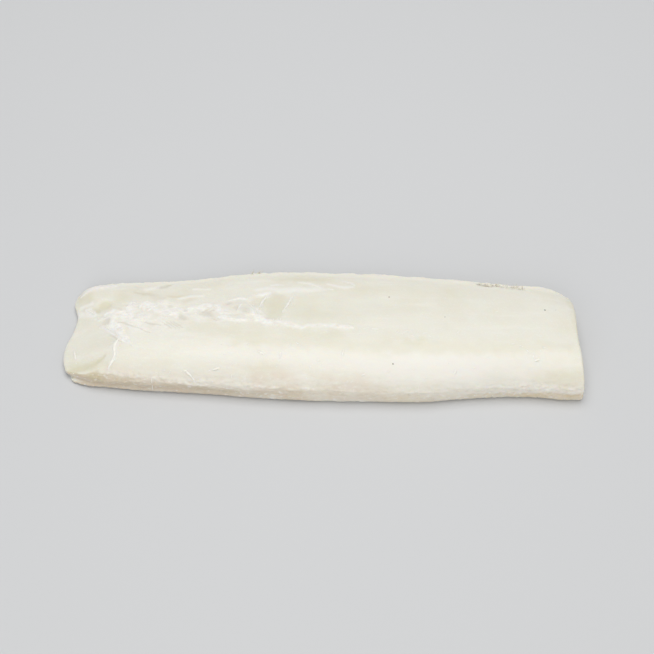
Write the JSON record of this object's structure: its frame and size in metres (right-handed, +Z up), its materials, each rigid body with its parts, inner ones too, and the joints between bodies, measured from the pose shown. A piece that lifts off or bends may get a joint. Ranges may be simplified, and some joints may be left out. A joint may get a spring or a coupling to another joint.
{
  "type": "salted cod loin",
  "caption": "Long skinless slab of salted dried cod with a rounded crest along its thick back, a thin belly edge, one square-cut end and one slanting cut end.",
  "frame": {"origin": "on the flat underside, below the middle of the slab's box", "axes": "+X along the loin to its thick square-cut end, +Y from the thick back to the thin belly edge, +Z up through its thickness"},
  "size_m": [0.3454, 0.105, 0.028],
  "materials": {
    "cod_flesh": null
  },
  "bodies": {
    "root": {"cod_loin": "cod_flesh"}
  },
  "joints": []
}
